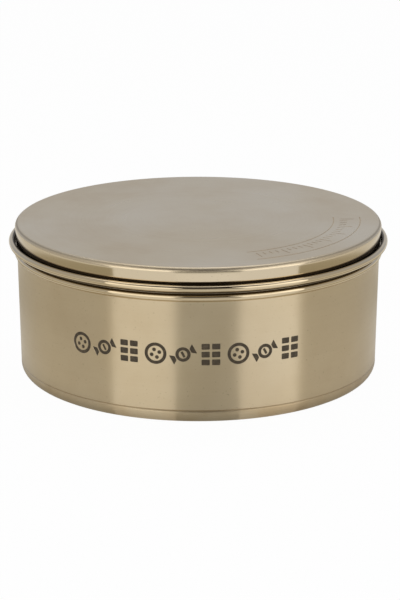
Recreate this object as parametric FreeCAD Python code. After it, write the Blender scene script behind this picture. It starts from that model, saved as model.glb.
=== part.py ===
import FreeCAD, Part
import math
import os

# Round brass biscuit tin: a tapered wall with a wired rim, a soldered base pan and a plug lid.
# Millimetres, +Z up. The origin is on the axis, in the plane that the tin stands on.
# The front of the tin faces -Y, and azimuths are degrees from the front towards +X.

V = FreeCAD.Vector

# ---- driving dimensions ------------------------------------------------------------------
WALL_DIA = 230.0            # outside of the wall, just under the bead
WALL_TAPER = 1.1            # radius lost from the bead down to the wall's lower edge
RIM_HEIGHT = 87.6           # floor to the crest of the rim
LID_RISE = 10.1             # the closed lid's top above the rim's crest
SHEET = 0.8                 # sheet of the wall and the base pan
LID_SHEET = 0.7
INSIDE_BEND = 0.15          # inside radius of the sharp bends

# wired rim and the ledge that the lid sits on
WIRE_DIA = 2.2
WIRE_GAP = 0.05             # between the wire and the sheet rolled round it
CURL_TAIL = 0.5             # sheet past the lowest point of the roll
LEDGE_WIDTH = 2.1           # the sheet steps outwards by this below the rim

# bead under the rim
GROOVE_HEIGHT = 1.4         # plain wall between the bead and the ledge
BEAD_HEIGHT = 4.6
BEAD_REACH = 2.9            # to the sharp crown, before it is rounded
BEAD_ROUND = 1.9            # middle-line radius of the crown

# lid
LID_SIDE_GAP = 0.8          # all round, between the skirt and the rim
LID_SEAT_GAP = 0.1          # under the skirt's edge
LID_FLARE = 1.0             # the skirt's upper end is wider by this
LID_EDGE_ROUND = 3.0
SKIRT_STRAIGHT = 0.6        # the straight part of the skirt ends this far above the rim

# base pan
BASE_BAND = 8.7             # height of the band under the wall's lower edge
BASE_CORNER = 6.5           # outside radius of the pan's corner
BASE_RAISE = 1.2            # the middle of the base stands clear of the floor by this
FOOT_WIDTH = 6.0            # flat ring that the tin stands on
FOOT_SLOPE = 5.0            # run from the foot up to the raised middle
FOOT_BEND = 2.0
JOGGLE_RISE = 1.0
JOGGLE_TO_EDGE = 0.3        # joggle's upper corner to the wall's lower edge
UPSTAND = 7.0               # the pan's overlap inside the wall
SOLDER_GAP = 0.05           # between the upstand, the wall and the solder
SOLDER_LEG = 1.0

# engraved frieze on the front of the wall, filled with dark enamel
FRIEZE_LEVEL = 44.0
FRIEZE_AZIMUTH = -4.5       # of the middle motif
MOTIF_HEIGHT = 13.5
MOTIF_PITCH = 16.6          # along the wall
MOTIF_SETS = 3              # each set is a biscuit, a sweet and a chocolate
STROKE = 2.0
SWEET_TILT = 28.0
ENGRAVING = 0.35            # depth in the wall
ENAMEL_SUNK = 0.08          # the enamel's face lies this far inside the wall's

# fine engraved dial on the lid
DIAL_RADII = (85.8, 102.6)
DIAL_AZIMUTHS = (20.0, 92.0)
DIAL_LINE = 0.5
DIAL_DEPTH = 0.15
DIAL_TICKS = 25
DIAL_MARGIN = 4.0           # between a tick and the arcs

# ---- worked out --------------------------------------------------------------------------
WALL_R = WALL_DIA / 2
CREASE = SHEET / 2 + INSIDE_BEND
CURL_R = WIRE_DIA / 2 + WIRE_GAP + SHEET
CURL_Z = RIM_HEIGHT - CURL_R
RIM_INNER_R = WALL_R - SHEET + LEDGE_WIDTH
CURL_CENTRE_R = RIM_INNER_R + CURL_R
LEDGE_Z = CURL_Z - CURL_R
BEAD_TOP = LEDGE_Z - SHEET - GROOVE_HEIGHT
BEAD_FOOT = BEAD_TOP - BEAD_HEIGHT
SKIRT_R = RIM_INNER_R - LID_SIDE_GAP
LID_TOP = RIM_HEIGHT + LID_RISE
UPSTAND_TOP = BASE_BAND + UPSTAND


def wall_radius(z):
    """Outside radius of the tapered wall at height z."""
    return WALL_R - WALL_TAPER * (BEAD_FOOT - z) / (BEAD_FOOT - BASE_BAND)


# ---- sheet sections ----------------------------------------------------------------------
def sheet_side(corners, shift):
    """Edges of the surface that lies shift to the left of a bent sheet's middle line."""
    points = [V(corner[0], 0, corner[1]) for corner in corners]
    edges = []

    def straight(begin, end):
        if begin.distanceToPoint(end) > 1e-6:
            edges.append(Part.LineSegment(begin, end).toShape())

    def left_of(direction):
        return V(-direction.z, 0, direction.x)

    ahead = (points[1] - points[0]).normalize()
    begin = points[0] + left_of(ahead) * shift
    for index in range(1, len(points) - 1):
        bend = corners[index][2]
        onward = (points[index + 1] - points[index]).normalize()
        turn = math.atan2(left_of(ahead).dot(onward), ahead.dot(onward))
        side = math.copysign(1, turn)
        tangent = bend * math.tan(abs(turn) / 2)
        centre = points[index] - ahead * tangent + left_of(ahead) * (side * bend)
        to_corner = (points[index] - centre).normalize()
        radius = bend - side * shift
        arc_begin = centre - left_of(ahead) * (side * radius)
        arc_end = centre - left_of(onward) * (side * radius)
        straight(begin, arc_begin)
        edges.append(Part.Arc(arc_begin, centre + to_corner * radius, arc_end).toShape())
        begin = arc_end
        ahead = onward
    straight(begin, points[-1] + left_of(ahead) * shift)
    return edges


def spun_sheet(corners, thickness):
    """Solid of revolution of a bent sheet. Each corner is (radius, height, middle-line bend)."""
    left = sheet_side(corners, thickness / 2)
    right = sheet_side(corners, -thickness / 2)
    first_cap = Part.LineSegment(left[0].firstVertex().Point, right[0].firstVertex().Point)
    last_cap = Part.LineSegment(left[-1].lastVertex().Point, right[-1].lastVertex().Point)
    edges = left + right + [first_cap.toShape(), last_cap.toShape()]
    return spun(Part.Wire(Part.__sortEdges__(edges)))


def spun(wire):
    return Part.Face(wire).revolve(V(0, 0, 0), V(0, 0, 1), 360)


def spun_polygon(points):
    """Solid of revolution of a closed polygon of (radius, height) points."""
    corners = [V(r, 0, z) for r, z in points]
    return spun(Part.makePolygon(corners + corners[:1]))


def body_wall_blank():
    """Wall, bead, ledge and rolled rim, all one sheet, before engraving."""
    middle = SHEET / 2
    roll = CURL_R - middle
    wall_r = WALL_R - middle
    bead_crown = (wall_r + BEAD_REACH, (BEAD_FOOT + BEAD_TOP) / 2, BEAD_ROUND)
    corners = [
        (wall_radius(BASE_BAND) - middle, BASE_BAND),
        (wall_r, BEAD_FOOT, CREASE),
        bead_crown,
        (wall_r, BEAD_TOP, CREASE),
        (wall_r, LEDGE_Z - middle, CREASE),
        (CURL_CENTRE_R - roll, LEDGE_Z - middle, CREASE),
        (CURL_CENTRE_R - roll, CURL_Z + roll, roll),
        (CURL_CENTRE_R + roll, CURL_Z + roll, roll),
        (CURL_CENTRE_R + roll, CURL_Z - roll, roll),
        (CURL_CENTRE_R - CURL_TAIL, CURL_Z - roll),
    ]
    return spun_sheet(corners, SHEET)


def rim_wire():
    return Part.makeTorus(CURL_CENTRE_R, WIRE_DIA / 2, V(0, 0, CURL_Z))


def base_pan():
    """Dished pan with a flat foot ring and a joggled upstand that fits inside the wall."""
    middle = SHEET / 2
    band_r = wall_radius(BASE_BAND) - middle
    inset = SHEET + SOLDER_GAP
    foot_inner = band_r + middle - BASE_CORNER - FOOT_WIDTH
    joggle_top = BASE_BAND - JOGGLE_TO_EDGE
    corners = [
        (0, BASE_RAISE + middle),
        (foot_inner - FOOT_SLOPE, BASE_RAISE + middle, FOOT_BEND),
        (foot_inner, middle, FOOT_BEND),
        (band_r, middle, BASE_CORNER - middle),
        (band_r, joggle_top - JOGGLE_RISE, CREASE),
        (band_r - inset, joggle_top, CREASE),
        (wall_radius(UPSTAND_TOP) - middle - inset, UPSTAND_TOP),
    ]
    return spun_sheet(corners, SHEET)


def base_solder():
    """Fillet of solder in the corner over the upstand's edge, against the wall."""
    foot = UPSTAND_TOP + SOLDER_GAP
    crest = foot + SOLDER_LEG
    inset = SHEET + SOLDER_GAP
    points = [
        (wall_radius(foot) - inset - SOLDER_LEG, foot),
        (wall_radius(foot) - inset, foot),
        (wall_radius(crest) - inset, crest),
    ]
    return spun_polygon(points)


def lid_blank():
    """Flat top, rounded edge and a skirt that narrows to slip inside the rim."""
    middle = LID_SHEET / 2
    corners = [
        (0, LID_TOP - middle),
        (SKIRT_R + LID_FLARE - middle, LID_TOP - middle, LID_EDGE_ROUND - middle),
        (SKIRT_R - middle, RIM_HEIGHT + SKIRT_STRAIGHT, LID_EDGE_ROUND),
        (SKIRT_R - middle, LEDGE_Z + LID_SEAT_GAP),
    ]
    return spun_sheet(corners, LID_SHEET)


# ---- engraving ---------------------------------------------------------------------------
# A motif is drawn upright in its own plane, y to the right and z up, and stands along +X.
def disc(y, z, radius):
    return Part.Face(Part.Wire(Part.Circle(V(0, y, z), V(1, 0, 0), radius).toShape()))


def polygon(points):
    corners = [V(0, y, z) for y, z in points]
    return Part.Face(Part.makePolygon(corners + corners[:1]))


def biscuit():
    """Round biscuit: a ring with four chips in it."""
    outer = MOTIF_HEIGHT / 2
    chip_r = STROKE * 0.6
    chip_place = outer * 0.37
    faces = [disc(0, 0, outer).cut(disc(0, 0, outer - STROKE))]
    for quarter in range(4):
        turn = math.radians(90 * quarter + 20)
        faces.append(disc(chip_place * math.cos(turn), chip_place * math.sin(turn), chip_r))
    return faces


def sweet():
    """Wrapped sweet, tilted: a ring with a bar in it and a fan of wrapper at each end."""
    ring_r = MOTIF_HEIGHT * 0.34
    fan_end = MOTIF_HEIGHT * 0.58
    fan_half = MOTIF_HEIGHT * 0.25
    neck_half = STROKE * 0.45
    neck = ring_r + STROKE * 0.2
    bar_y = STROKE * 0.4
    bar_z = STROKE
    faces = [disc(0, 0, ring_r).cut(disc(0, 0, ring_r - STROKE))]
    faces.append(polygon([(-bar_y, -bar_z), (bar_y, -bar_z), (bar_y, bar_z), (-bar_y, bar_z)]))
    for side in (-1, 1):
        near, far = side * neck, side * fan_end
        faces.append(polygon([(near, -neck_half), (far, -fan_half), (far, fan_half), (near, neck_half)]))
    for face in faces:
        face.rotate(V(0, 0, 0), V(1, 0, 0), SWEET_TILT)
    return faces


def chocolate():
    """Bar of chocolate: two columns of three blocks."""
    block_w = MOTIF_HEIGHT * 0.37
    block_h = MOTIF_HEIGHT * 0.27
    gap = (MOTIF_HEIGHT - 3 * block_h) / 2
    faces = []
    for column in (-1, 1):
        inner = column * gap / 2
        outer = inner + column * block_w
        for row in (-1, 0, 1):
            low = row * (block_h + gap) - block_h / 2
            high = low + block_h
            faces.append(polygon([(inner, low), (outer, low), (outer, high), (inner, high)]))
    return faces


MOTIFS = {"enamel_biscuits": biscuit, "enamel_sweets": sweet, "enamel_chocolates": chocolate}


def at_azimuth(shape, azimuth):
    """Copy of a shape that stands along +X, turned about the axis to an azimuth."""
    turned = shape.copy()
    turned.rotate(V(0, 0, 0), V(0, 0, 1), azimuth - 90)
    return turned


def frieze():
    """Node name to the radial prisms of its motifs."""
    prisms = {name: [] for name in MOTIFS}
    count = MOTIF_SETS * len(MOTIFS)
    radius = wall_radius(FRIEZE_LEVEL)
    for place in range(count):
        name = list(MOTIFS)[place % len(MOTIFS)]
        along = (place - (count - 1) / 2) * MOTIF_PITCH
        azimuth = FRIEZE_AZIMUTH + math.degrees(along / radius)
        for face in MOTIFS[name]():
            face.translate(V(radius - 2 * SHEET, 0, FRIEZE_LEVEL))
            prisms[name].append(at_azimuth(face.extrude(V(4 * SHEET, 0, 0)), azimuth))
    return prisms


def wall_layer(inner_depth, outer_depth):
    """Ring that follows the wall between two depths below its surface, as high as the frieze."""
    low = FRIEZE_LEVEL - MOTIF_HEIGHT
    high = FRIEZE_LEVEL + MOTIF_HEIGHT
    points = [
        (wall_radius(low) - inner_depth, low),
        (wall_radius(low) - outer_depth, low),
        (wall_radius(high) - outer_depth, high),
        (wall_radius(high) - inner_depth, high),
    ]
    return spun_polygon(points)


def dial_cuts():
    """Two fine arcs on the lid with a row of ticks between them."""
    floor = LID_TOP - DIAL_DEPTH
    begin, end = DIAL_AZIMUTHS
    cuts = []
    for radius in DIAL_RADII:
        half = DIAL_LINE / 2
        corners = [V(radius - half, 0, floor), V(radius + half, 0, floor)]
        corners += [V(radius + half, 0, LID_TOP + SHEET), V(radius - half, 0, LID_TOP + SHEET)]
        section = Part.Face(Part.makePolygon(corners + corners[:1]))
        groove = section.revolve(V(0, 0, 0), V(0, 0, 1), end - begin)
        cuts.append(at_azimuth(groove, begin))
    length = DIAL_RADII[1] - DIAL_RADII[0] - 2 * DIAL_MARGIN
    for tick in range(DIAL_TICKS):
        reach = length if tick % 4 == 0 else length / 2
        inner = DIAL_RADII[0] + DIAL_MARGIN
        bar = Part.makeBox(reach, DIAL_LINE, SHEET, V(inner, -DIAL_LINE / 2, floor))
        step = (end - begin) / (DIAL_TICKS + 1)
        cuts.append(at_azimuth(bar, begin + step * (tick + 1)))
    return cuts


# ---- build -------------------------------------------------------------------------------
def main():
    prisms = frieze()
    pocket_layer = wall_layer(ENGRAVING, -SHEET)
    enamel_layer = wall_layer(ENGRAVING, ENAMEL_SUNK)
    pockets = [prism.common(pocket_layer) for group in prisms.values() for prism in group]

    nodes = {
        "body_wall": body_wall_blank().cut(pockets),
        "base_pan": base_pan(),
        "base_solder": base_solder(),
        "rim_wire": rim_wire(),
        "lid_shell": lid_blank().cut(dial_cuts()),
    }
    for name, group in prisms.items():
        fills = [prism.common(enamel_layer).Solids[0] for prism in group]
        nodes[name] = Part.makeCompound(fills)

    os.makedirs("parts", exist_ok=True)
    for name, shape in nodes.items():
        print(name, len(shape.Solids), "solids", round(shape.Volume / 1000, 2), "cm3", shape.isValid())
        shape.exportStep("parts/" + name + ".step")


main()
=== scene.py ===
import math

import bmesh
import bpy
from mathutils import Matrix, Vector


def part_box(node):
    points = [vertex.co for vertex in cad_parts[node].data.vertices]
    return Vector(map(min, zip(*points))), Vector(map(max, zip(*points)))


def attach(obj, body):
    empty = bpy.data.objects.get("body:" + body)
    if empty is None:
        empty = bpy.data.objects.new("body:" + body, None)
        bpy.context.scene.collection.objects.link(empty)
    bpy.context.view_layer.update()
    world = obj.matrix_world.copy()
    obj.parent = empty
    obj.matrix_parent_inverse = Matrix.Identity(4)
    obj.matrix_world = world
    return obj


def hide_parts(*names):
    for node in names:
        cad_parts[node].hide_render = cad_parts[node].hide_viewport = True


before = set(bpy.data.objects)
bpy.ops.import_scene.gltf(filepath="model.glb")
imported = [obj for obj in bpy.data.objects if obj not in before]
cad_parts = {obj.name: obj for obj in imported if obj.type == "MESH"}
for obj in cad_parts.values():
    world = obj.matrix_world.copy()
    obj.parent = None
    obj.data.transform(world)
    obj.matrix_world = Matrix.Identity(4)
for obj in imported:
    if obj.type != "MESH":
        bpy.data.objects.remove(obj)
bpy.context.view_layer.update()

MM = 0.001
FULL_TURN = 2 * math.pi

# ---- sizes of the sheet metal, in metres, tied to the frame -------------------------------
SHEET = 0.8 * MM
LID_SHEET = 0.7 * MM
INSIDE_BEND = 0.15 * MM
LEDGE_WIDTH = 2.1 * MM
GROOVE_HEIGHT = 1.4 * MM
BEAD_HEIGHT = 4.6 * MM
BEAD_REACH = 2.9 * MM
BEAD_ROUND = 1.9 * MM
CURL_TAIL = 0.5 * MM
LID_SIDE_GAP = 0.8 * MM
LID_FLARE = 1.0 * MM
LID_EDGE_ROUND = 3.0 * MM
SKIRT_STRAIGHT = 0.6 * MM
PAN_FLOOR_RAISE = 1.2 * MM
PAN_CORNER = 6.5 * MM
FOOT_WIDTH = 6.0 * MM
FOOT_SLOPE = 5.0 * MM
FOOT_BEND = 2.0 * MM
JOGGLE_RISE = 1.0 * MM
JOGGLE_TO_EDGE = 0.3 * MM
SOLDER_GAP = 0.05 * MM
SOLDER_LEG = 1.0 * MM
SOLDER_HOLLOW = 0.4 * SOLDER_LEG
SOLDER_EASED = 0.1 * SOLDER_LEG
RAW_EDGE_ROUND = 0.18 * MM
ROUND_SEGMENTS = 480            # facets round the tin
BEND_STEP = math.radians(12)    # one facet of a bend
TOUCHING = 1e-6                 # points this close are one
SEAM_TOUCHING = 2e-6
SAME_DEPTH = 1e-7

wall_low, wall_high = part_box("body_wall")
wire_low, wire_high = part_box("rim_wire")
lid_low, lid_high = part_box("lid_shell")
pan_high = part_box("base_pan")[1]
solder_low, solder_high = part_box("base_solder")

WALL_FOOT = wall_low.z
RIM_CREST = wall_high.z
WIRE_R = (wire_high.z - wire_low.z) / 2
CURL_Z = (wire_high.z + wire_low.z) / 2
CURL_CENTRE_R = wire_high.x - WIRE_R
CURL_R = RIM_CREST - CURL_Z
RIM_INNER_R = CURL_CENTRE_R - CURL_R
WALL_R = RIM_INNER_R + SHEET - LEDGE_WIDTH
LEDGE_Z = CURL_Z - CURL_R
BEAD_TOP = LEDGE_Z - SHEET - GROOVE_HEIGHT
BEAD_FOOT = BEAD_TOP - BEAD_HEIGHT
FOOT_R = pan_high.x
SKIRT_R = RIM_INNER_R - LID_SIDE_GAP
LID_TOP = lid_high.z
SKIRT_FOOT = lid_low.z
TAPER = (WALL_R - FOOT_R) / (BEAD_FOOT - WALL_FOOT)
POLISHED_FROM = BEAD_FOOT - 0.3 * MM

# ---- the engraved frieze and the dial on the lid ------------------------------------------
frieze_low, frieze_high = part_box("enamel_biscuits")
FRIEZE_LEVEL = (frieze_low.z + frieze_high.z) / 2
MOTIF_HEIGHT = frieze_high.z - frieze_low.z
FRIEZE_AZIMUTH = math.radians(-4.5)
MOTIF_PITCH = 16.6 * MM
MOTIF_SETS = 3
STROKE = 2.0 * MM
SWEET_TILT = math.radians(-28)
ENGRAVING_DEPTH = 0.45 * MM
ENAMEL_SUNK = 0.1 * MM
ENGRAVING_FLARE = 0.5           # how far a pocket's side leans out, per depth
CUTTER_PROUD = 0.15 * MM
CORNER_ROUND = 0.45 * MM        # corners of the blocks
PLUG_SIDES = 28                 # facets round a chip or a ring
CHIP_SPREAD = 0.37 * (MOTIF_HEIGHT / 2)
CHIP_R = 0.6 * STROKE
CHIP_TURN = math.radians(20)
SWEET_R = 0.34 * MOTIF_HEIGHT
FAN_REACH = 0.58 * MOTIF_HEIGHT
FAN_HEIGHT = 0.5 * MOTIF_HEIGHT
FAN_GAP = 0.2 * STROKE
FAN_NECK = 1.4 * STROKE
BAR_WIDTH = 0.8 * STROKE
BAR_HEIGHT = 2 * STROKE
BLOCK_WIDTH = 0.37 * MOTIF_HEIGHT
BLOCK_HEIGHT = 0.27 * MOTIF_HEIGHT

DIAL_RADII = (85.8 * MM, 102.6 * MM)
DIAL_FIRST = math.radians(20)
DIAL_LAST = math.radians(92)
DIAL_LINE = 0.55 * MM
DIAL_DEPTH = 0.15 * MM
DIAL_TICKS = 25
DIAL_MARGIN = 4.0 * MM
DIAL_ARC_STEPS = 120
DIAL_ARC_START = 0.1 * MM       # the slab that an arc is drawn out from
LONG_TICK_EVERY = 4


def wall_radius(z):
    """Outside radius of the tapered wall at height z."""
    return WALL_R - TAPER * (BEAD_FOOT - z)


# ---- bench tools ---------------------------------------------------------------------------
def put_down():
    """Nothing selected."""
    bpy.ops.object.select_all(action="DESELECT")


def take(piece):
    """Only this piece selected and active."""
    put_down()
    piece.select_set(True)
    bpy.context.view_layer.objects.active = piece
    return piece


def named(name):
    piece = bpy.context.active_object
    piece.name = name
    piece.data.name = name
    return piece


def settle(piece):
    """The piece's place, turn and size go into its mesh."""
    take(piece)
    bpy.ops.object.transform_apply(location=True, rotation=True, scale=True)
    return piece


def edit():
    bpy.ops.object.mode_set(mode="EDIT")


def done():
    bpy.ops.object.mode_set(mode="OBJECT")


def pick(kind, test):
    """Selects the VERT, EDGE or FACE items of the mesh being edited that pass a test."""
    bpy.ops.mesh.select_mode(type=kind)
    bpy.ops.mesh.select_all(action="DESELECT")
    mesh = bpy.context.edit_object.data
    bench = bmesh.from_edit_mesh(mesh)
    items = {"VERT": bench.verts, "EDGE": bench.edges, "FACE": bench.faces}[kind]
    for item in items:
        if test(item):
            item.select_set(True)
    bench.select_flush_mode()
    bmesh.update_edit_mesh(mesh)


def modify(piece, kind, **settings):
    """Adds a modifier, sets it and applies it."""
    take(piece)
    modifier = piece.modifiers.new(kind.title(), kind)
    for key, value in settings.items():
        setattr(modifier, key, value)
    bpy.ops.object.modifier_apply(modifier=modifier.name)


def scrap(*pieces):
    for piece in pieces:
        bpy.data.objects.remove(piece)


def join(pieces, name):
    put_down()
    for piece in pieces:
        piece.select_set(True)
    bpy.context.view_layer.objects.active = pieces[0]
    bpy.ops.object.join()
    return named(name)


def twin(piece):
    """A copy with its own mesh."""
    copy = piece.copy()
    copy.data = piece.data.copy()
    bpy.context.collection.objects.link(copy)
    return copy


def smooth(piece, angle=28):
    """Smooth shading that keeps creases sharp and flat stretches flat."""
    take(piece)
    bpy.ops.object.shade_smooth_by_angle(angle=math.radians(angle))
    modify(piece, "WEIGHTED_NORMAL", mode="FACE_AREA", weight=50, keep_sharp=True)


# ---- spun sheet ----------------------------------------------------------------------------
def profile(name, corners):
    """Wire through (radius, height, bend) corners, each corner rounded to its bend."""
    put_down()
    first_r, first_z = corners[0][:2]
    bpy.ops.mesh.primitive_plane_add(size=MM, location=(first_r, 0, first_z))
    wire = settle(named(name))
    edit()
    pick("VERT", lambda vertex: True)
    bpy.ops.mesh.merge(type="CENTER")
    for here, there in zip(corners, corners[1:]):
        step = (there[0] - here[0], 0, there[1] - here[1])
        bpy.ops.mesh.extrude_vertices_move(TRANSFORM_OT_translate={"value": step})
    for before, corner, after in zip(corners, corners[1:], corners[2:]):
        round_corner(before, corner, after)
    bpy.ops.mesh.select_all(action="SELECT")
    bpy.ops.mesh.remove_doubles(threshold=TOUCHING)
    done()
    return wire


def round_corner(before, corner, after):
    r, z, bend = corner
    ahead = math.atan2(z - before[1], r - before[0])
    onward = math.atan2(after[1] - z, after[0] - r)
    turn = abs((onward - ahead + math.pi) % FULL_TURN - math.pi)
    pick("VERT", lambda vertex: math.dist(vertex.co, (r, 0, z)) < TOUCHING)
    bpy.ops.mesh.bevel(
        affect="VERTICES",
        offset_type="OFFSET",
        offset=bend * math.tan(turn / 2),
        segments=max(2, math.ceil(turn / BEND_STEP)),
    )


def spin(wire):
    """Turns a wire once about the tin's axis and closes the seam and the pole."""
    take(wire)
    edit()
    bpy.ops.mesh.select_all(action="SELECT")
    bpy.ops.mesh.spin(steps=ROUND_SEGMENTS, angle=FULL_TURN, center=(0, 0, 0), axis=(0, 0, 1))
    bpy.ops.mesh.select_all(action="SELECT")
    bpy.ops.mesh.remove_doubles(threshold=SEAM_TOUCHING)
    bpy.ops.mesh.normals_make_consistent(inside=False)
    done()
    return wire


def spun_sheet(name, corners, thickness):
    """A sheet bent along the corners, spun round the axis, with its raw edges eased."""
    shell = spin(profile(name, corners))
    modify(shell, "SOLIDIFY", thickness=thickness, offset=0, use_even_offset=True)
    edit()
    pick("EDGE", is_raw_edge)
    bpy.ops.mesh.bevel(affect="EDGES", offset=RAW_EDGE_ROUND, segments=2)
    done()
    return shell


def is_raw_edge(edge):
    """An edge round the tin where the sheet was cut off square."""
    if len(edge.link_faces) != 2 or edge.calc_face_angle(0) < math.radians(60):
        return False
    a, b = edge.verts
    return abs(a.co.z - b.co.z) < TOUCHING


# ---- the tin's metal -----------------------------------------------------------------------
def wall_blank():
    middle = SHEET / 2
    crease = middle + INSIDE_BEND
    roll = CURL_R - middle
    wall_r = WALL_R - middle
    corners = [
        (FOOT_R - middle, WALL_FOOT),
        (wall_r, BEAD_FOOT, crease),
        (wall_r + BEAD_REACH, (BEAD_FOOT + BEAD_TOP) / 2, BEAD_ROUND),
        (wall_r, BEAD_TOP, crease),
        (wall_r, LEDGE_Z - middle, crease),
        (CURL_CENTRE_R - roll, LEDGE_Z - middle, crease),
        (CURL_CENTRE_R - roll, CURL_Z + roll, roll),
        (CURL_CENTRE_R + roll, CURL_Z + roll, roll),
        (CURL_CENTRE_R + roll, CURL_Z - roll, roll),
        (CURL_CENTRE_R - CURL_TAIL, CURL_Z - roll),
    ]
    return spun_sheet("tin_wall", corners, SHEET)


def base():
    middle = SHEET / 2
    crease = middle + INSIDE_BEND
    band_r = FOOT_R - middle
    inset = SHEET + SOLDER_GAP
    foot_inner = FOOT_R - PAN_CORNER - FOOT_WIDTH
    joggle_top = WALL_FOOT - JOGGLE_TO_EDGE
    corners = [
        (0, PAN_FLOOR_RAISE + middle),
        (foot_inner - FOOT_SLOPE, PAN_FLOOR_RAISE + middle, FOOT_BEND),
        (foot_inner, middle, FOOT_BEND),
        (band_r, middle, PAN_CORNER - middle),
        (band_r, joggle_top - JOGGLE_RISE, crease),
        (band_r - inset, joggle_top, crease),
        (wall_radius(pan_high.z) - middle - inset, pan_high.z),
    ]
    return spun_sheet("tin_base", corners, SHEET)


def solder():
    """Fillet in the corner over the base's upstand, with a slightly hollow face."""
    inset = SHEET + SOLDER_GAP
    foot, crest = solder_low.z, solder_high.z
    outer_foot = wall_radius(foot) - inset
    outer_crest = wall_radius(crest) - inset
    corners = [
        (outer_foot, foot),
        (outer_foot - SOLDER_LEG, foot, SOLDER_EASED),
        (outer_crest - SOLDER_HOLLOW, foot + SOLDER_HOLLOW, SOLDER_LEG),
        (outer_crest, crest, SOLDER_EASED),
        (outer_foot, foot),
    ]
    return spin(profile("base_solder_fillet", corners))


def lid_blank():
    middle = LID_SHEET / 2
    corners = [
        (0, LID_TOP - middle),
        (SKIRT_R + LID_FLARE - middle, LID_TOP - middle, LID_EDGE_ROUND - middle),
        (SKIRT_R - middle, RIM_CREST + SKIRT_STRAIGHT, LID_EDGE_ROUND),
        (SKIRT_R - middle, SKIRT_FOOT),
    ]
    return spun_sheet("lid", corners, LID_SHEET)


# ---- the frieze, laid out flat: x along the wall, z up, y into the wall --------------------
def grown(size, y):
    """A half size on the wall's surface, at depth y."""
    return size - ENGRAVING_FLARE * y


def lies_at(face, depth):
    return abs(face.calc_center_median().y - depth) < SAME_DEPTH


def plug(x, z, radius, inner, outer):
    """Round plug between two depths, wider outside."""
    bpy.ops.mesh.primitive_cone_add(
        vertices=PLUG_SIDES,
        radius1=grown(radius, inner),
        radius2=grown(radius, outer),
        depth=inner - outer,
        location=(x, (inner + outer) / 2, z),
        rotation=(math.pi / 2, 0, 0),
    )
    return settle(named("chip"))


def ring(radius, stroke, inner, outer):
    """Plug with a hole through it that narrows outwards."""
    piece = plug(0, 0, radius, inner, outer)
    take(piece)
    edit()
    for depth in (inner, outer):
        pick("FACE", lambda face: len(face.verts) == PLUG_SIDES and lies_at(face, depth))
        wide = grown(radius, depth)
        narrow = radius - stroke + ENGRAVING_FLARE * depth
        bpy.ops.mesh.inset(thickness=wide - narrow, use_even_offset=True)
    pick("FACE", lambda face: len(face.verts) == PLUG_SIDES)
    bpy.ops.mesh.bridge_edge_loops()
    done()
    return piece


def block(x, z, width, height, inner, outer, near_height=None):
    """Four-sided plug with rounded corners. near_height narrows the side that faces x = 0."""
    bpy.ops.mesh.primitive_cube_add(
        size=1, location=(x, (inner + outer) / 2, z), scale=(width, inner - outer, height)
    )
    piece = settle(named("block"))
    edit()
    if near_height:
        pick("VERT", lambda vertex: abs(vertex.co.x) < abs(x))
        centre = (x, 0, z)
        bpy.ops.transform.resize(value=(1, 1, near_height / height), center_override=centre)
    pick("EDGE", lambda edge: abs(edge.verts[0].co.y - edge.verts[1].co.y) > 0.5 * (inner - outer))
    bpy.ops.mesh.bevel(affect="EDGES", offset=CORNER_ROUND, segments=3)
    for depth in (inner, outer):
        pick("FACE", lambda face: abs(face.normal.y) > 0.9 and lies_at(face, depth))
        lean = 2 * ENGRAVING_FLARE * depth
        value = ((width - lean) / width, 1, (height - lean) / height)
        bpy.ops.transform.resize(value=value, center_override=(x, depth, z))
    done()
    return piece


def biscuit(inner, outer):
    """Round biscuit: a ring with four chips in it."""
    parts = [ring(MOTIF_HEIGHT / 2, STROKE, inner, outer)]
    for quarter in range(4):
        turn = quarter * FULL_TURN / 4 + CHIP_TURN
        x, z = CHIP_SPREAD * math.cos(turn), CHIP_SPREAD * math.sin(turn)
        parts.append(plug(x, z, CHIP_R, inner, outer))
    return join(parts, "biscuit")


def sweet(inner, outer):
    """Wrapped sweet, tilted: a ring with a bar in it and a fan of wrapper at each end."""
    fan_near = SWEET_R + FAN_GAP
    width = FAN_REACH - fan_near
    parts = [ring(SWEET_R, STROKE, inner, outer)]
    parts.append(block(0, 0, BAR_WIDTH, BAR_HEIGHT, inner, outer))
    for side in (-1, 1):
        middle = side * (fan_near + width / 2)
        parts.append(block(middle, 0, width, FAN_HEIGHT, inner, outer, FAN_NECK))
    whole = join(parts, "sweet")
    whole.rotation_euler = (0, SWEET_TILT, 0)
    return settle(whole)


def chocolate(inner, outer):
    """Bar of chocolate: two columns of three blocks."""
    gap = (MOTIF_HEIGHT - 3 * BLOCK_HEIGHT) / 2
    parts = []
    for column in (-1, 1):
        for row in (-1, 0, 1):
            x = column * (gap + BLOCK_WIDTH) / 2
            parts.append(block(x, row * (BLOCK_HEIGHT + gap), BLOCK_WIDTH, BLOCK_HEIGHT, inner, outer))
    return join(parts, "chocolate")


def frieze_strip(motif, turn, name, inner, outer):
    """Every copy of one motif, laid along the strip and then wrapped round the wall."""
    count = len(MOTIFS) * MOTIF_SETS
    radius = wall_radius(FRIEZE_LEVEL)
    first = motif(inner, outer)
    copies = []
    for place in range(turn, count, len(MOTIFS)):
        copy = twin(first)
        copy.location.x = (place - (count - 1) / 2) * MOTIF_PITCH + FRIEZE_AZIMUTH * radius
        copies.append(settle(copy))
    scrap(first)
    strip = join(copies, name)
    strip.rotation_euler = (math.atan(TAPER), 0, 0)
    settle(strip)
    reach = [vertex.co.x for vertex in strip.data.vertices]
    modify(
        strip,
        "SIMPLE_DEFORM",
        deform_method="BEND",
        deform_axis="Z",
        angle=(max(reach) - min(reach)) / radius,
    )
    strip.location = (0, -radius, FRIEZE_LEVEL)
    return settle(strip)


MOTIFS = (
    (biscuit, "enamel_biscuits"),
    (sweet, "enamel_sweets"),
    (chocolate, "enamel_chocolates"),
)


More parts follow.
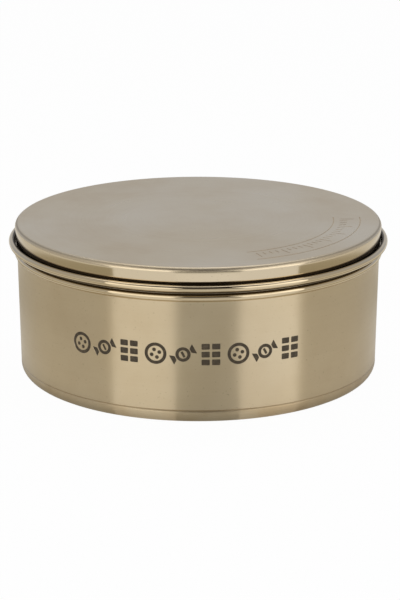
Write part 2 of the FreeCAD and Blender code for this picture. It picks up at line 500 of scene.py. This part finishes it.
def frieze_cutter():
    """All the frieze's pockets, as one cutter that stands a little proud of the wall."""
    strips = []
    for turn, (motif, name) in enumerate(MOTIFS):
        strips.append(frieze_strip(motif, turn, "cutter", ENGRAVING_DEPTH, -CUTTER_PROUD))
    cutter = join(strips, "frieze_cutter")
    paint(cutter, cut_brass)
    return cutter


def engrave(blank, cutter):
    modify(
        blank,
        "BOOLEAN",
        operation="DIFFERENCE",
        solver="MANIFOLD",
        material_mode="TRANSFER",
        object=cutter,
    )
    scrap(cutter)


def at_azimuth(piece, azimuth):
    """Turns a piece that stands along -Y to an azimuth, counted towards +X."""
    piece.rotation_euler = (0, 0, azimuth)
    return settle(piece)


def dial_arc(radius):
    """Groove cutter along an arc of the lid."""
    put_down()
    bpy.ops.mesh.primitive_cube_add(
        size=1,
        location=(0, -radius, LID_TOP),
        scale=(DIAL_ARC_START, DIAL_LINE, 2 * DIAL_DEPTH),
    )
    arc = at_azimuth(settle(named("dial_arc")), DIAL_FIRST)
    edit()
    ahead = (math.cos(DIAL_FIRST), math.sin(DIAL_FIRST), 0)
    pick("FACE", lambda face: face.normal.dot(ahead) > 0.99)
    sweep = DIAL_LAST - DIAL_FIRST
    bpy.ops.mesh.spin(steps=DIAL_ARC_STEPS, angle=-sweep, center=(0, 0, 0), axis=(0, 0, 1))
    bpy.ops.mesh.select_all(action="SELECT")
    bpy.ops.mesh.normals_make_consistent(inside=False)
    done()
    return arc


def dial_tick(index):
    put_down()
    length = DIAL_RADII[1] - DIAL_RADII[0] - 2 * DIAL_MARGIN
    reach = length if index % LONG_TICK_EVERY == 0 else length / 2
    middle = DIAL_RADII[0] + DIAL_MARGIN + reach / 2
    bpy.ops.mesh.primitive_cube_add(
        size=1, location=(0, -middle, LID_TOP), scale=(DIAL_LINE, reach, 2 * DIAL_DEPTH)
    )
    step = (DIAL_LAST - DIAL_FIRST) / (DIAL_TICKS + 1)
    return at_azimuth(settle(named("dial_tick")), DIAL_FIRST + step * (index + 1))


def dial_cutter():
    """The fine dial on the lid: two arcs, and ticks between them."""
    parts = [dial_arc(radius) for radius in DIAL_RADII]
    parts += [dial_tick(index) for index in range(DIAL_TICKS)]
    cutter = join(parts, "dial_cutter")
    paint(cutter, dial_line)
    return cutter


# ---- finishes ------------------------------------------------------------------------------
class Signal:
    """A number that a node gives. Arithmetic on it adds Math nodes."""

    def __init__(self, finish, socket):
        self.finish = finish
        self.socket = socket

    def math(self, operation, *numbers):
        return self.finish.node("ShaderNodeMath", {"operation": operation}, dict(enumerate(numbers)))

    def __add__(self, other):
        return self.math("ADD", self, other)

    def __radd__(self, other):
        return self.math("ADD", other, self)

    def __sub__(self, other):
        return self.math("SUBTRACT", self, other)

    def __rsub__(self, other):
        return self.math("SUBTRACT", other, self)

    def __mul__(self, other):
        return self.math("MULTIPLY", self, other)

    def __rmul__(self, other):
        return self.math("MULTIPLY", other, self)

    def __pow__(self, other):
        return self.math("POWER", self, other)

    def between(self, low, high):
        """0 under low, 1 over high, smooth in between."""
        return self.finish.node(
            "ShaderNodeMapRange",
            {"interpolation_type": "SMOOTHSTEP"},
            {"Value": self, "From Min": low, "From Max": high, "To Min": 0, "To Max": 1},
        )


def pin(sockets, key):
    """A socket by its number, its identifier or its name."""
    if isinstance(key, int):
        return sockets[key]
    by_identifier = [socket for socket in sockets if socket.identifier == key]
    return by_identifier[0] if by_identifier else sockets[key]


class Finish:
    """The nodes of one material, or of the world, put together one by one."""

    def __init__(self, owner):
        owner.use_nodes = True
        self.owner = owner
        self.tree = owner.node_tree
        self.tree.nodes.clear()

    def node(self, kind, settings, inputs, output=0):
        """Adds a node: its settings first, then its sockets. Returns one output."""
        node = self.tree.nodes.new(kind)
        for key, value in settings.items():
            setattr(node, key, value)
        for key, value in inputs.items():
            socket = pin(node.inputs, key)
            if isinstance(value, Signal):
                self.tree.links.new(value.socket, socket)
            else:
                socket.default_value = value
        if output is None:
            return None
        return Signal(self, pin(node.outputs, output))

    def place(self):
        """x, y, z and the distance from the axis, on the object."""
        spot = self.node("ShaderNodeTexCoord", {}, {}, "Object")
        x, y, z = (self.node("ShaderNodeSeparateXYZ", {}, {"Vector": spot}, axis) for axis in "XYZ")
        return x, y, z, (x * x + y * y) ** 0.5

    def vector(self, x, y, z):
        return self.node("ShaderNodeCombineXYZ", {}, {"X": x, "Y": y, "Z": z})

    def noise(self, vector, scale, detail=3, roughness=0.5):
        return self.node(
            "ShaderNodeTexNoise",
            {},
            {"Vector": vector, "Scale": scale, "Detail": detail, "Roughness": roughness},
            "Fac",
        )

    def blend(self, first, second, factor):
        """Mixes two colours."""
        return self.node(
            "ShaderNodeMix",
            {"data_type": "RGBA"},
            {"Factor_Float": factor, "A_Color": first, "B_Color": second},
            "Result_Color",
        )

    def bump(self, height, distance):
        return self.node("ShaderNodeBump", {}, {"Height": height, "Distance": distance})

    def surface(self, **sockets):
        inputs = {key.replace("_", " "): value for key, value in sockets.items()}
        shader = self.node("ShaderNodeBsdfPrincipled", {}, inputs, "BSDF")
        self.node("ShaderNodeOutputMaterial", {}, {"Surface": shader}, None)
        return self.owner


def rgb(red, green, blue):
    return (red, green, blue, 1.0)


BRASS = rgb(0.60, 0.488, 0.318)
BRASS_WARM = rgb(0.52, 0.39, 0.225)
BRASS_PALE = rgb(0.66, 0.575, 0.44)
TARNISH = rgb(0.075, 0.050, 0.028)
# Near-black painted shade, put into the rim's groove, the gap beside the lid and the base near the floor:
SHADE_BLACK = rgb(0.024, 0.015, 0.008)
ENAMEL_BROWN = rgb(0.060, 0.042, 0.024)
ENAMEL_WORN = rgb(0.125, 0.092, 0.056)
ENAMEL_CLOUDED = rgb(0.09, 0.078, 0.055)


def brass(
    name,
    lines,
    roughness,
    anisotropic,
    warm=0.25,
    pale=0.0,
    blotch=0.25,
    hairline=1.0,
    painted_shade=None,
    matt=None,
):
    """Brass with hairlines round the axis, faint mottling, wiped smudges and fine pits.

    lines is "wall" for hairlines that run round an upright face and "top" for turned ones on a flat one.
    warm and pale are the shares of the warmer and the paler brass, blotch how far the larger smudges go
    towards the paler one, and hairline how strong the hairlines are. soot gives the share of near-black
    painted shade at a height and a radius, and matt how much rougher the metal is there.
    """
    finish = Finish(bpy.data.materials.new(name))
    x, y, z, radius = finish.place()
    across = z if lines == "wall" else radius
    spot = finish.vector(x, y, z)
    fine = finish.noise(finish.vector(x * 6, y * 6, across * 3200), 1.0, 2)
    coarse = finish.noise(finish.vector(x * 9, y * 9, across * 700), 1.0, 3)
    mottle = finish.noise(spot, 26, 4, 0.6)
    cloud = finish.noise(spot, 9, 3)
    specks = finish.noise(spot, 900, 1).between(0.70, 0.78)

    streaks = (coarse - 0.5) * (0.5 * hairline)
    toned = finish.blend(BRASS, BRASS_WARM, (mottle.between(0.35, 0.7) + streaks) * warm)
    toned = finish.blend(toned, BRASS_PALE, cloud.between(0.35, 0.7) * blotch + pale)
    toned = finish.blend(toned, TARNISH, specks * 0.25)
    rough = roughness * (1 + (mottle - 0.5) * 0.3 + (coarse - 0.5) * (0.3 * hairline))
    # Painted shade: near-black colour blended in where the soot mask is high, with rougher metal there.
    if painted_shade:
        painted_dark = painted_shade(z, radius)
        toned = finish.blend(toned, SHADE_BLACK, painted_dark)
        rough = rough + painted_dark * 0.3
    if matt:
        rough = rough + matt(z, radius)
    lift = fine * 0.6 * hairline + coarse * 0.4 * hairline - specks * 0.5
    normal = finish.bump(lift, 0.006 * MM)
    return finish.surface(
        Base_Color=toned,
        Metallic=1.0,
        Roughness=rough,
        Anisotropic=anisotropic,
        Anisotropic_Rotation=0.25,
        Normal=normal,
    )


def rim_painted_shade(z, radius):
    """Painted shade, near black, in the groove under the roll and on the roll's side that faces the lid.
    """
    over_bead = z.between(BEAD_TOP, BEAD_TOP + 0.5 * MM)
    under_roll = 1 - z.between(LEDGE_Z - 0.3 * MM, LEDGE_Z + 0.3 * MM)
    deep = 1 - radius.between(RIM_INNER_R, RIM_INNER_R + 1.0 * MM)
    beside_lid = 1 - radius.between(CURL_CENTRE_R - 0.7 * MM, CURL_CENTRE_R + 0.1 * MM)
    in_gap = beside_lid * z.between(LEDGE_Z, LEDGE_Z + 0.5 * MM)
    return over_bead * under_roll * deep * 0.95 + in_gap * 0.98


def skirt_painted_shade(z, radius):
    """Painted shade where the skirt goes down behind the rim, fainter just under the crest and denser
    deeper in the gap, and a painted dark line standing in for a dark reflection high on the lid's rounded
    edge.
    """
    behind = 1 - z.between(RIM_CREST - 0.8 * MM, RIM_CREST)
    deeper_in_gap = z.between(RIM_CREST - 2.5 * MM, RIM_CREST - 1.0 * MM)
    under_edge = z.between(LID_TOP - 1.2 * MM, LID_TOP - 0.8 * MM)
    edge_line = under_edge * (1 - z.between(LID_TOP - 0.5 * MM, LID_TOP - 0.2 * MM))
    return behind * (deeper_in_gap * 0.65 + 0.3) + edge_line * 0.3


def base_painted_shade(z, radius):
    """Painted contact shade: the base is a little darker all over, and darker still near the floor."""
    return 0.14 - z.between(0, WALL_FOOT) * 0.1


def edge_matt(z, radius):
    """The lid's rounded edge is brushed like its top."""
    return z.between(LID_TOP - 2.6 * MM, LID_TOP - 1.4 * MM) * 0.26


def enamel():
    """Dark brown enamel with a soft gloss, worn thin and greyer in places."""
    finish = Finish(bpy.data.materials.new("dark enamel"))
    spot = finish.vector(*finish.place()[:3])
    worn = finish.noise(spot, 420, 4, 0.6)
    cloud = finish.noise(spot, 60, 2)
    colour = finish.blend(ENAMEL_BROWN, ENAMEL_WORN, worn.between(0.4, 0.75))
    colour = finish.blend(colour, ENAMEL_CLOUDED, cloud * 0.5)
    normal = finish.bump(worn, 0.02 * MM)
    return finish.surface(
        Base_Color=colour, Roughness=0.4 + worn * 0.2, Specular_IOR_Level=0.25, Normal=normal
    )


def dull_metal(name, dark, light, roughness):
    """Grey metal with a fine grain and clouded tone."""
    finish = Finish(bpy.data.materials.new(name))
    spot = finish.vector(*finish.place()[:3])
    grain = finish.noise(spot, 1200, 3)
    cloud = finish.noise(spot, 80, 3)
    colour = finish.blend(dark, light, cloud.between(0.3, 0.7))
    normal = finish.bump(grain, 0.02 * MM)
    return finish.surface(
        Base_Color=colour, Metallic=1.0, Roughness=roughness + (grain - 0.5) * 0.2, Normal=normal
    )


def paint(piece, material):
    piece.data.materials.clear()
    piece.data.materials.append(material)


def paint_where(piece, material, test):
    """Gives the faces that pass a test their own material."""
    piece.data.materials.append(material)
    slot_index = len(piece.data.materials) - 1
    for face in piece.data.polygons:
        if test(face):
            face.material_index = slot_index


def fit(piece, body, slot, *nodes):
    """The finished piece takes its place in the model."""
    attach(piece, body)
    if nodes:
        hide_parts(*nodes)


# ---- studio --------------------------------------------------------------------------------
CAMERA_SPOT = (0.0011, -1.380, 0.4561)
CAMERA_TILT = math.radians(16.64)
CAMERA_LENS = 134.6             # in mm, on a sensor 36 mm wide
CAMERA_SENSOR = 36
WHITE = rgb(1, 1, 1)
OCHRE = rgb(0.44, 0.40, 0.30)
FLOOR_SHADE = rgb(0.10, 0.09, 0.075)
FLOOR_PALE = rgb(0.86, 0.86, 0.86)
FLOOR_SIZE = 30
CARD_SIZE = 6
CARD_HEIGHT = 0.3 * MM
SIDE_STRIP = WALL_R + 90 * MM           # where a strip across a card on the floor begins
FRONT_STRIP = WALL_R + 140 * MM
STRIP_END = WALL_R + 190 * MM
STRIP_BLUR = 10 * MM


def camera():
    put_down()
    bpy.ops.object.camera_add(location=CAMERA_SPOT, rotation=(math.pi / 2 - CAMERA_TILT, 0, 0))
    eye = named("camera")
    eye.data.lens = CAMERA_LENS
    eye.data.sensor_width = CAMERA_SENSOR
    bpy.context.scene.camera = eye


def softbox(name, azimuth, elevation, distance, size, brightness):
    """Area lamp that faces the tin. Its azimuth counts from -Y towards +X, its size is (width, height)."""
    azimuth, elevation = math.radians(azimuth), math.radians(elevation)
    flat = distance * math.cos(elevation)
    spot = (flat * math.sin(azimuth), -flat * math.cos(azimuth), distance * math.sin(elevation))
    put_down()
    bpy.ops.object.light_add(type="AREA", location=spot, rotation=(math.pi / 2 - elevation, 0, azimuth))
    lamp = named(name)
    lamp.data.shape = "RECTANGLE"
    lamp.data.size, lamp.data.size_y = size
    lamp.data.energy = brightness * math.pi * size[0] * size[1]
    lamp.visible_camera = False


def seen(finish):
    """1 for what the camera sees."""
    return finish.node("ShaderNodeLightPath", {}, {}, "Is Camera Ray")


def mirrored(finish):
    """1 for what metal mirrors."""
    return finish.node("ShaderNodeLightPath", {}, {}, "Is Glossy Ray")


def surroundings():
    """A room with a low window in its dark front, paler sides and back, and a grey patch overhead."""
    bpy.context.scene.view_settings.view_transform = "Standard"
    world = bpy.data.worlds.new("studio")
    bpy.context.scene.world = world
    finish = Finish(world)
    way = finish.node("ShaderNodeTexCoord", {}, {}, "Generated")
    x, y, z = (finish.node("ShaderNodeSeparateXYZ", {}, {"Vector": way}, axis) for axis in "XYZ")
    aside = finish.node("ShaderNodeMath", {"operation": "ARCTAN2"}, {0: x.math("ABSOLUTE", x), 1: y * -1})
    front = rgb(0.02, 0.017, 0.015)
    window_light = rgb(0.56, 0.55, 0.53)
    side = rgb(0.56, 0.55, 0.54)
    quarter = rgb(0.50, 0.54, 0.64)
    back = rgb(0.585, 0.605, 0.65)
    ceiling = rgb(0.3, 0.3, 0.3)
    window = z.between(0.12, 0.17) * (1 - z.between(0.36, 0.42))
    room = finish.blend(front, window_light, window)
    room = finish.blend(room, side, aside.between(0.93, 1.02))
    room = finish.blend(room, quarter, aside.between(1.9, 2.4))
    room = finish.blend(room, back, aside.between(2.6, 2.9))
    room = finish.blend(room, ceiling, z.between(0.96, 0.995))
    room = finish.blend(room, WHITE, seen(finish))
    light = finish.node("ShaderNodeBackground", {}, {"Color": room, "Strength": 1.0})
    finish.node("ShaderNodeOutputWorld", {}, {"Surface": light}, None)


def floor_light(radius):
    """How much light falls on the floor near the tin's foot."""
    return radius.between(FOOT_R - PAN_CORNER, FOOT_R + 30 * MM) * 0.5 + 0.5


def floor():
    put_down()
    bpy.ops.mesh.primitive_plane_add(size=FLOOR_SIZE)
    table = named("floor")
    finish = Finish(bpy.data.materials.new("pale floor"))
    matt = finish.node("ShaderNodeBsdfDiffuse", {}, {"Color": FLOOR_PALE}, "BSDF")
    even = finish.node("ShaderNodeEmission", {}, {"Color": WHITE, "Strength": 1.0})
    radius = finish.place()[3]
    share = seen(finish) * 0.975 + mirrored(finish) * floor_light(radius) * 0.9
    cover = finish.node("ShaderNodeMixShader", {}, {"Fac": share, 1: matt, 2: even})
    finish.node("ShaderNodeOutputMaterial", {}, {"Surface": cover}, None)
    paint(table, finish.owner)


def flag(name, card_colour, strip_colour, strip_near, *edges):
    """Card flat on the floor beside the tin, with a strip of another colour across it.

    Only the metal mirrors it: the brushed wall its whole length, and the lid's polished skirt the strip.
    An edge is (azimuth, side): it runs from the wall at half the azimuth out along the azimuth, and the
    card lies on that side of it.
    """
    put_down()
    bpy.ops.mesh.primitive_plane_add(size=CARD_SIZE, location=(0, 0, CARD_HEIGHT))
    card = settle(named(name))
    edit()
    for azimuth, side in edges:
        azimuth = math.radians(azimuth)
        start = (WALL_R * math.sin(azimuth / 2), -WALL_R * math.cos(azimuth / 2), 0)
        inward = (side * math.cos(azimuth), side * math.sin(azimuth), 0)
        bpy.ops.mesh.select_all(action="SELECT")
        bpy.ops.mesh.bisect(plane_co=start, plane_no=inward, clear_inner=True)
    done()
    finish = Finish(bpy.data.materials.new(name))
    radius = finish.place()[3]
    begun = radius.between(strip_near, strip_near + STRIP_BLUR)
    strip = begun * (1 - radius.between(STRIP_END, STRIP_END + STRIP_BLUR))
    colour = finish.blend(card_colour, strip_colour, strip)
    # Painted shadow: the card's colour darkens towards FLOOR_SHADE near the tin's foot.
    colour = finish.blend(FLOOR_SHADE, colour, floor_light(radius))
    glow = finish.node("ShaderNodeEmission", {}, {"Color": colour, "Strength": 1.0})
    finish.node("ShaderNodeOutputMaterial", {}, {"Surface": glow}, None)
    paint(card, finish.owner)
    card.visible_camera = card.visible_diffuse = card.visible_shadow = False


def lamps():
    for name, azimuth in (("left_softbox", -34.5), ("right_softbox", 45.5)):
        softbox(name, azimuth, 24, 1.6, (1.15, 1.25), 1.23)
    softbox("overhead_softbox", 180, 76, 1.5, (1.4, 0.8), 1.3)
    flag("left_flag", rgb(0.74, 0.72, 0.67), OCHRE, SIDE_STRIP, (-55, -1), (0, -1))
    flag("right_flag", rgb(0.76, 0.735, 0.68), OCHRE, SIDE_STRIP, (66, 1), (0, 1))
    flag("front_flag", rgb(0.72, 0.72, 0.69), WHITE, FRONT_STRIP, (-14, 1), (26, -1))


# ---- the tin, piece by piece ----------------------------------------------------------------
def leans_out(face):
    """How much a face looks away from the tin's axis."""
    return face.normal.x * face.center.x + face.normal.y * face.center.y


def tin_wall():
    piece = wall_blank()
    paint(piece, wall_brass)
    paint_where(piece, rim_brass, lambda face: face.center.z > POLISHED_FROM)
    paint_where(piece, inside_brass, lambda face: leans_out(face) < 0 and face.center.z < LEDGE_Z - SHEET)
    engrave(piece, frieze_cutter())
    smooth(piece)
    fit(piece, "tin", "brass_wall", "body_wall")


def tin_base():
    piece = base()
    paint(piece, base_brass)
    paint_where(piece, inside_brass, lambda face: face.center.z > WALL_FOOT or face.normal.z > 0.5)
    smooth(piece)
    fit(piece, "tin", "brass_base", "base_pan")


def tin_lid():
    piece = lid_blank()
    paint(piece, lid_brass)
    paint_where(piece, skirt_brass, lambda face: abs(face.normal.z) < 0.9)
    paint_where(piece, inside_brass, lambda face: face.normal.z < -0.5 or leans_out(face) < -0.1 * SKIRT_R)
    engrave(piece, dial_cutter())
    smooth(piece)
    fit(piece, "lid", "brass_lid", "lid_shell")


def solder_fillet():
    piece = solder()
    paint(piece, solder_grey)
    smooth(piece, 40)
    fit(piece, "tin", "solder", "base_solder")


def enamel_fills():
    for turn, (motif, node) in enumerate(MOTIFS):
        piece = frieze_strip(motif, turn, node + "_fill", ENGRAVING_DEPTH, ENAMEL_SUNK)
        modify(piece, "TRIANGULATE")
        paint(piece, dark_enamel)
        fit(piece, "tin", "dark_enamel", node)


wall_brass = brass("wall brass", "wall", 0.32, 1.0)
rim_brass = brass("rim brass", "wall", 0.06, 0.0, painted_shade=rim_painted_shade, hairline=0.1)
inside_brass = brass("inside brass", "wall", 0.42, 0.5, warm=0.6)
base_brass = brass("base brass", "wall", 0.36, 0.9, warm=1.0, painted_shade=base_painted_shade)
lid_brass = brass("lid brass", "top", 0.30, 0.2, warm=0.6, pale=0.2, blotch=0.75)
skirt_brass = brass(
    "skirt brass", "wall", 0.10, 0.0, warm=0.1, pale=0.3, painted_shade=skirt_painted_shade, hairline=0.15, matt=edge_matt
)
cut_brass = brass("cut brass", "wall", 0.3, 0.0, pale=0.6, hairline=0.3)
dial_line = brass("dial line", "top", 0.45, 0.0, warm=1.0, hairline=0.3)
dark_enamel = enamel()
wire_steel = dull_metal("wire steel", rgb(0.30, 0.30, 0.31), rgb(0.42, 0.42, 0.43), 0.4)
solder_grey = dull_metal("solder grey", rgb(0.36, 0.36, 0.35), rgb(0.52, 0.52, 0.50), 0.38)

put_down()
paint(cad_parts["rim_wire"], wire_steel)
tin_wall()
tin_base()
solder_fillet()
tin_lid()
enamel_fills()
camera()
lamps()
surroundings()
floor()
